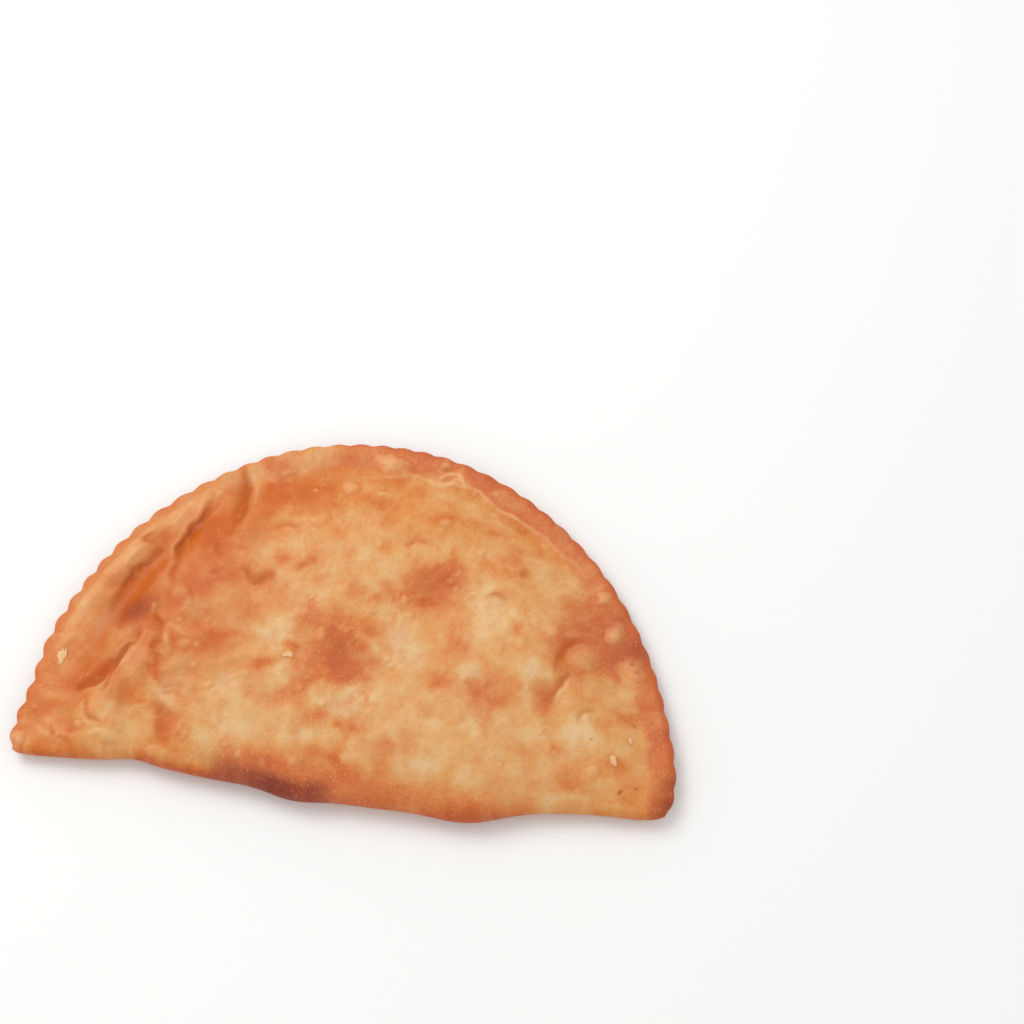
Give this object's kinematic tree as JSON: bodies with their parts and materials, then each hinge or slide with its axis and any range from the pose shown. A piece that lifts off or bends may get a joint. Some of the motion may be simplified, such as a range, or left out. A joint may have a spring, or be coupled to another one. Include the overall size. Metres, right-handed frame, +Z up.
{
  "type": "cheburek",
  "caption": "Half-moon fried pastry with a thin meat filling, folded along one long edge and sealed along its arc by a fluted wheel, browned and blistered.",
  "frame": {"origin": "on the surface it lies on, under the middle of its bounding box", "axes": "+X along the fold to the right, +Y from the fold towards the top of the arc, +Z up out of the browned face that shows"},
  "size_m": [0.2066, 0.1208, 0.0176],
  "materials": {
    "fried_crust": "satin, a little oily, golden with orange-brown spots, blistered"
  },
  "bodies": {
    "root": {"cheburek": "fried_crust"}
  },
  "joints": []
}
